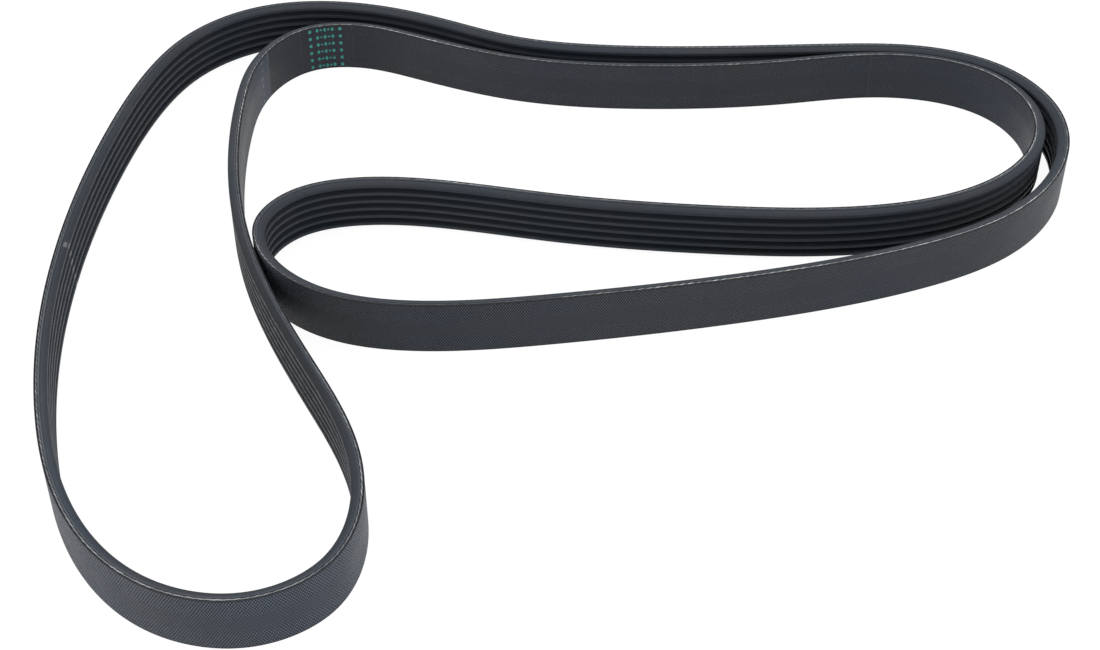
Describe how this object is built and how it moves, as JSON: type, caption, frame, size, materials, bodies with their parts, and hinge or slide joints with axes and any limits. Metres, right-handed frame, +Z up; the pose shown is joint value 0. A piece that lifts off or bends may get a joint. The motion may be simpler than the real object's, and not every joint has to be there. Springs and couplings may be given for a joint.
{
  "type": "serpentine belt",
  "caption": "Endless ribbed drive belt with a smooth fabric-marked back, standing on its cut edge in a loose double loop.",
  "frame": {"origin": "on the surface that the belt stands on, under the middle of the belt's box", "axes": "+Z up across the belt's width, +X along the longer side of the loop, +Y along its shorter side, away from the viewer of the picture"},
  "size_m": [0.3902, 0.3522, 0.0214],
  "materials": {
    "belt_rubber": "satin, with a fine diagonal weave pressed into the back"
  },
  "bodies": {
    "root": {"ribbed_belt": "belt_rubber"}
  },
  "joints": []
}
